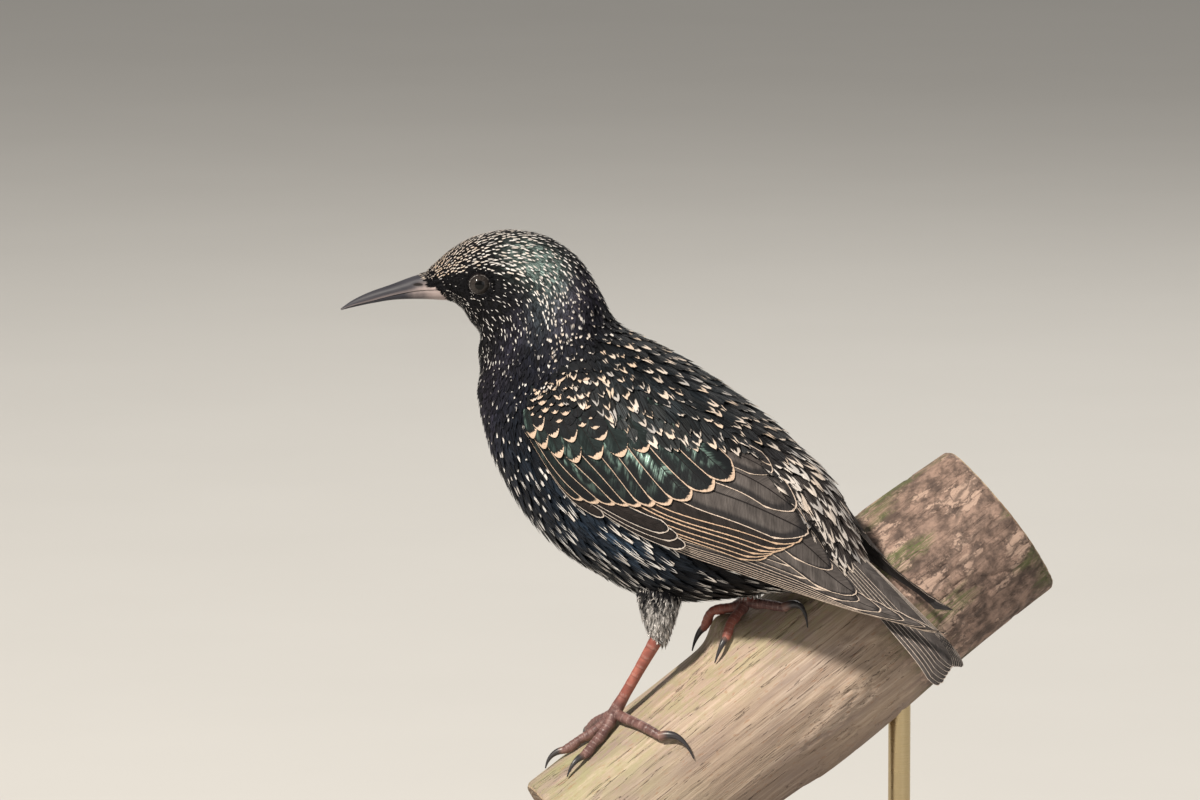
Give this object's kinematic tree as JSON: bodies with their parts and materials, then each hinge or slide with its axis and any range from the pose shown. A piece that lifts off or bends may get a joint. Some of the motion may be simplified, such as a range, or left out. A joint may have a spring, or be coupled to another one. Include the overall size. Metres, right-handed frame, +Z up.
{
  "type": "common starling",
  "caption": "Life-size still model of a common starling in winter plumage, standing on a cut length of branch held by a plain stand.",
  "frame": {"origin": "centre of the display base's underside, on the surface it stands on", "axes": "+Z up, -X the way the bird's head faces, -Y the bird's left side"},
  "size_m": [0.192, 0.108, 0.2086],
  "materials": {
    "plumage": "glossy black contour feathers with green, blue and purple lights and buff tips",
    "flight_feathers": "satin black-brown vanes with buff edges",
    "bill": "satin horn",
    "eye": "wet and glossy",
    "leg_skin": "scaly, low gloss",
    "claw": "satin horn",
    "perch_wood": "weathered bare wood with patches of bark and moss",
    "base_wood": "dark, waxed",
    "rod_metal": "brushed"
  },
  "bodies": {
    "root": {"head": "plumage", "neck": "plumage", "trunk": "plumage", "thigh_left": "plumage", "thigh_right": "plumage", "wing_left": "flight_feathers", "wing_right": "flight_feathers", "tail": "flight_feathers", "bill_upper": "bill", "bill_lower": "bill", "eye_left": "eye", "eye_right": "eye", "shank_left": "leg_skin", "shank_right": "leg_skin", "toe_left_1": "leg_skin", "toe_left_2": "leg_skin", "toe_left_3": "leg_skin", "toe_left_4": "leg_skin", "toe_right_1": "leg_skin", "toe_right_2": "leg_skin", "toe_right_3": "leg_skin", "toe_right_4": "leg_skin", "claw_left_1": "claw", "claw_left_2": "claw", "claw_left_3": "claw", "claw_left_4": "claw", "claw_right_1": "claw", "claw_right_2": "claw", "claw_right_3": "claw", "claw_right_4": "claw", "perch": "perch_wood", "stand_base": "base_wood", "stand_rod_low": "rod_metal", "stand_rod_high": "rod_metal"}
  },
  "joints": []
}
